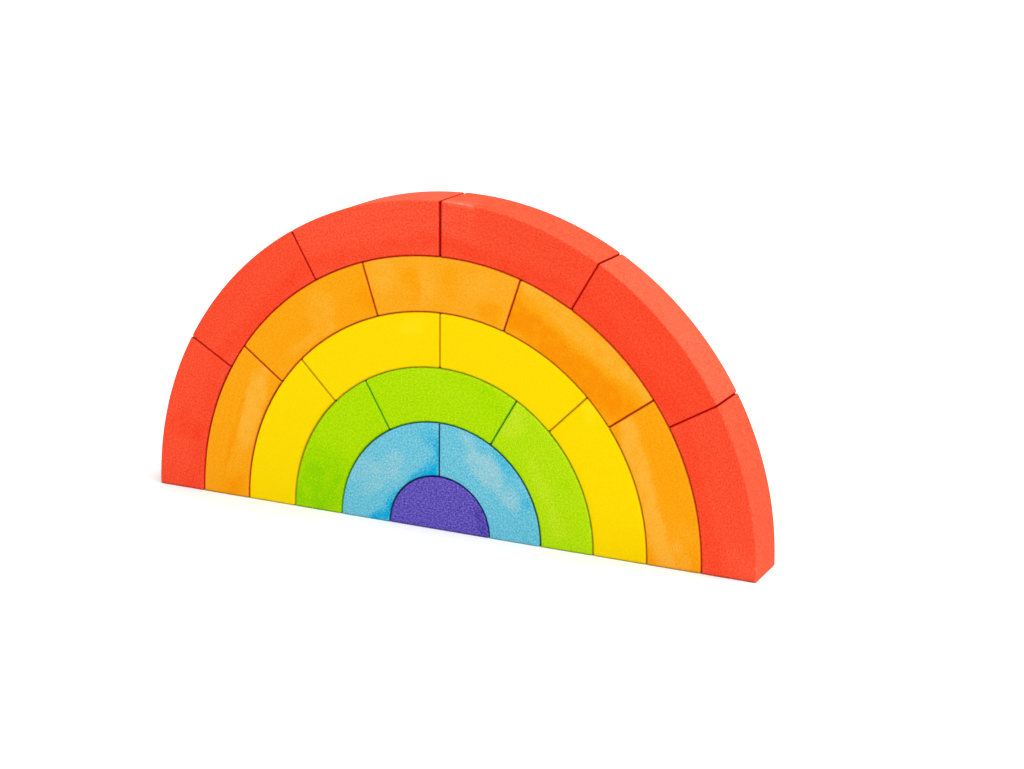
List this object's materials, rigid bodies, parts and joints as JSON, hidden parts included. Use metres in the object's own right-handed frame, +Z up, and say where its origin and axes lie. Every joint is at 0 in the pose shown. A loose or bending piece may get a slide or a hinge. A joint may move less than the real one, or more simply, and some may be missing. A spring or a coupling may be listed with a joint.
{
  "type": "rainbow stacker",
  "caption": "Half-round rainbow of loose dyed wooden arc blocks nested in rings round a half disc; it stands on its flat foot, and each block slides or lifts out for stacking.",
  "frame": {"origin": "middle of the foot that the rainbow stands on, halfway through its thickness", "axes": "+Z up towards the crown, +X along the foot towards the right foot as seen from the front, +Y from the front face to the back face"},
  "size_m": [0.36, 0.03, 0.18],
  "materials": {
    "purple_dyed_wood": "matte purple water dye on sanded wood",
    "blue_dyed_wood": "matte blue water dye on sanded wood",
    "green_dyed_wood": "matte green water dye on sanded wood",
    "yellow_dyed_wood": "matte yellow water dye on sanded wood",
    "orange_dyed_wood": "matte orange water dye on sanded wood",
    "red_dyed_wood": "matte red water dye on sanded wood"
  },
  "bodies": {
    "purple_half_disc": {"purple_half_disc": "purple_dyed_wood"},
    "blue_right": {"blue_right": "blue_dyed_wood"},
    "blue_left": {"blue_left": "blue_dyed_wood"},
    "green_right_foot": {"green_right_foot": "green_dyed_wood"},
    "green_keystone": {"green_keystone": "green_dyed_wood"},
    "green_left_foot": {"green_left_foot": "green_dyed_wood"},
    "yellow_right_foot": {"yellow_right_foot": "yellow_dyed_wood"},
    "yellow_right_crown": {"yellow_right_crown": "yellow_dyed_wood"},
    "yellow_left_crown": {"yellow_left_crown": "yellow_dyed_wood"},
    "yellow_left_foot": {"yellow_left_foot": "yellow_dyed_wood"},
    "orange_right_foot": {"orange_right_foot": "orange_dyed_wood"},
    "orange_right_shoulder": {"orange_right_shoulder": "orange_dyed_wood"},
    "orange_keystone": {"orange_keystone": "orange_dyed_wood"},
    "orange_left_shoulder": {"orange_left_shoulder": "orange_dyed_wood"},
    "orange_left_foot": {"orange_left_foot": "orange_dyed_wood"},
    "red_right_foot": {"red_right_foot": "red_dyed_wood"},
    "red_right_shoulder": {"red_right_shoulder": "red_dyed_wood"},
    "red_right_crown": {"red_right_crown": "red_dyed_wood"},
    "red_left_crown": {"red_left_crown": "red_dyed_wood"},
    "red_left_shoulder": {"red_left_shoulder": "red_dyed_wood"},
    "red_left_foot": {"red_left_foot": "red_dyed_wood"}
  },
  "joints": [
    {"name": "blue_right_slide", "type": "slide", "parent": "purple_half_disc", "child": "blue_right", "axis": [0, -1, 0], "range_m": [-0.04, 0.04]},
    {"name": "blue_left_slide", "type": "slide", "parent": "purple_half_disc", "child": "blue_left", "axis": [0, -1, 0], "range_m": [-0.04, 0.04]},
    {"name": "green_right_foot_slide", "type": "slide", "parent": "purple_half_disc", "child": "green_right_foot", "axis": [0, -1, 0], "range_m": [-0.04, 0.04]},
    {"name": "green_keystone_slide", "type": "slide", "parent": "purple_half_disc", "child": "green_keystone", "axis": [0, -1, 0], "range_m": [-0.04, 0.04]},
    {"name": "green_left_foot_slide", "type": "slide", "parent": "purple_half_disc", "child": "green_left_foot", "axis": [0, -1, 0], "range_m": [-0.04, 0.04]},
    {"name": "yellow_right_foot_slide", "type": "slide", "parent": "purple_half_disc", "child": "yellow_right_foot", "axis": [0, -1, 0], "range_m": [-0.04, 0.04]},
    {"name": "yellow_right_crown_slide", "type": "slide", "parent": "purple_half_disc", "child": "yellow_right_crown", "axis": [0, -1, 0], "range_m": [-0.04, 0.04]},
    {"name": "yellow_left_crown_slide", "type": "slide", "parent": "purple_half_disc", "child": "yellow_left_crown", "axis": [0, -1, 0], "range_m": [-0.04, 0.04]},
    {"name": "yellow_left_foot_slide", "type": "slide", "parent": "purple_half_disc", "child": "yellow_left_foot", "axis": [0, -1, 0], "range_m": [-0.04, 0.04]},
    {"name": "orange_right_foot_slide", "type": "slide", "parent": "purple_half_disc", "child": "orange_right_foot", "axis": [0, -1, 0], "range_m": [-0.04, 0.04]},
    {"name": "orange_right_shoulder_slide", "type": "slide", "parent": "purple_half_disc", "child": "orange_right_shoulder", "axis": [0, -1, 0], "range_m": [-0.04, 0.04]},
    {"name": "orange_keystone_slide", "type": "slide", "parent": "purple_half_disc", "child": "orange_keystone", "axis": [0, -1, 0], "range_m": [-0.04, 0.04]},
    {"name": "orange_left_shoulder_slide", "type": "slide", "parent": "purple_half_disc", "child": "orange_left_shoulder", "axis": [0, -1, 0], "range_m": [-0.04, 0.04]},
    {"name": "orange_left_foot_slide", "type": "slide", "parent": "purple_half_disc", "child": "orange_left_foot", "axis": [0, -1, 0], "range_m": [-0.04, 0.04]},
    {"name": "red_right_foot_slide", "type": "slide", "parent": "purple_half_disc", "child": "red_right_foot", "axis": [0, -1, 0], "range_m": [-0.04, 0.04]},
    {"name": "red_right_shoulder_slide", "type": "slide", "parent": "purple_half_disc", "child": "red_right_shoulder", "axis": [0, -1, 0], "range_m": [-0.04, 0.04]},
    {"name": "red_right_crown_slide", "type": "slide", "parent": "purple_half_disc", "child": "red_right_crown", "axis": [0, -1, 0], "range_m": [-0.04, 0.04]},
    {"name": "red_left_crown_slide", "type": "slide", "parent": "purple_half_disc", "child": "red_left_crown", "axis": [0, -1, 0], "range_m": [-0.04, 0.04]},
    {"name": "red_left_shoulder_slide", "type": "slide", "parent": "purple_half_disc", "child": "red_left_shoulder", "axis": [0, -1, 0], "range_m": [-0.04, 0.04]},
    {"name": "red_left_foot_slide", "type": "slide", "parent": "purple_half_disc", "child": "red_left_foot", "axis": [0, -1, 0], "range_m": [-0.04, 0.04]}
  ]
}
